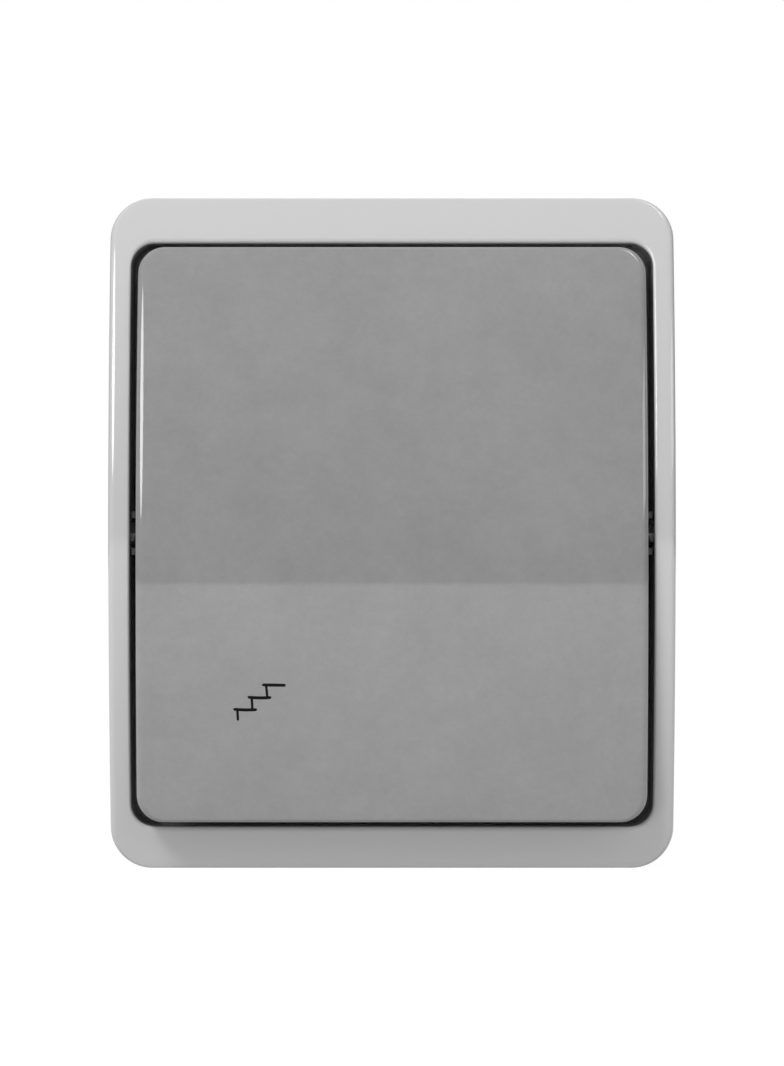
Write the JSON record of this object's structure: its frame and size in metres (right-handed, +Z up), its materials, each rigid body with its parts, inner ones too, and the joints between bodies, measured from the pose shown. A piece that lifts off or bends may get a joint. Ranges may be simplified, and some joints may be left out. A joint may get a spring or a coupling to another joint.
{
  "type": "surface mounted light switch",
  "caption": "Surface mounted two-way light switch with an arched cover, a large rocker key, cable entries and a spring-loaded contact rocker inside.",
  "frame": {"origin": "middle of the back face, the one that goes against the wall", "axes": "+X to the right seen from the front, +Y into the wall, +Z up the wall; the front faces -Y"},
  "size_m": [0.068, 0.0481, 0.081],
  "materials": {
    "housing": "light grey moulded plastic, glossy",
    "key": "mid grey moulded plastic, glossy",
    "ink": "black printed layer",
    "insert": "dark glass-filled plastic",
    "inner_white": "natural white moulded plastic",
    "seal_rubber": "soft grey rubber",
    "brass_strip": "stamped brass",
    "silver_tip": "silver alloy contact face",
    "zinc_steel": "zinc plated steel",
    "spring_steel": "drawn spring wire"
  },
  "bodies": {
    "housing": {"base_box": "housing", "box_seal": "seal_rubber", "cable_grommet_top": "seal_rubber", "cable_grommet_bottom": "seal_rubber", "cover_frame": "housing", "cover_screw_upper": "zinc_steel", "cover_screw_lower": "zinc_steel", "insert_body": "insert", "insert_cover": "insert", "insert_seal": "seal_rubber", "insert_screw_left": "zinc_steel", "insert_screw_right": "zinc_steel", "common_strip": "brass_strip", "contact_strip_upper": "brass_strip", "contact_strip_lower": "brass_strip", "fixed_tip_upper": "silver_tip", "fixed_tip_lower": "silver_tip", "terminal_cage_common": "brass_strip", "terminal_cage_upper": "brass_strip", "terminal_cage_lower": "brass_strip", "terminal_screw_common": "zinc_steel", "terminal_screw_upper": "zinc_steel", "terminal_screw_lower": "zinc_steel"},
    "key": {"rocker_key": "key", "stair_symbol": "ink"},
    "cradle": {"cradle": "inner_white", "contact_spring": "spring_steel"},
    "plunger": {"spring_plunger": "inner_white"},
    "contact_rocker": {"contact_rocker": "brass_strip", "moving_tip_upper": "silver_tip", "moving_tip_lower": "silver_tip"}
  },
  "joints": [
    {"name": "key_rock", "type": "hinge", "parent": "housing", "child": "key", "pos_m": [0, -0.04, 0], "axis": [1, 0, 0], "range_deg": [0, 5]},
    {"name": "cradle_rock", "type": "hinge", "parent": "housing", "child": "cradle", "pos_m": [0, -0.0305, 0], "axis": [1, 0, 0], "range_deg": [0, 5]},
    {"name": "contact_tip", "type": "hinge", "parent": "housing", "child": "contact_rocker", "pos_m": [0, -0.0162, 0], "axis": [1, 0, 0], "range_deg": [-24, 0]},
    {"name": "plunger_slide", "type": "slide", "parent": "cradle", "child": "plunger", "axis": [0, -0.999, 0.0436], "range_m": [0, 0.0006], "stiffness_N_per_m": 500, "springref_m": -0.002, "deforming": ["contact_spring"]}
  ],
  "couplings": [
    {"joint": "cradle_rock", "follows": "key_rock", "ratio": 1},
    {"joint": "contact_tip", "follows": "key_rock", "ratio": -4.8}
  ]
}
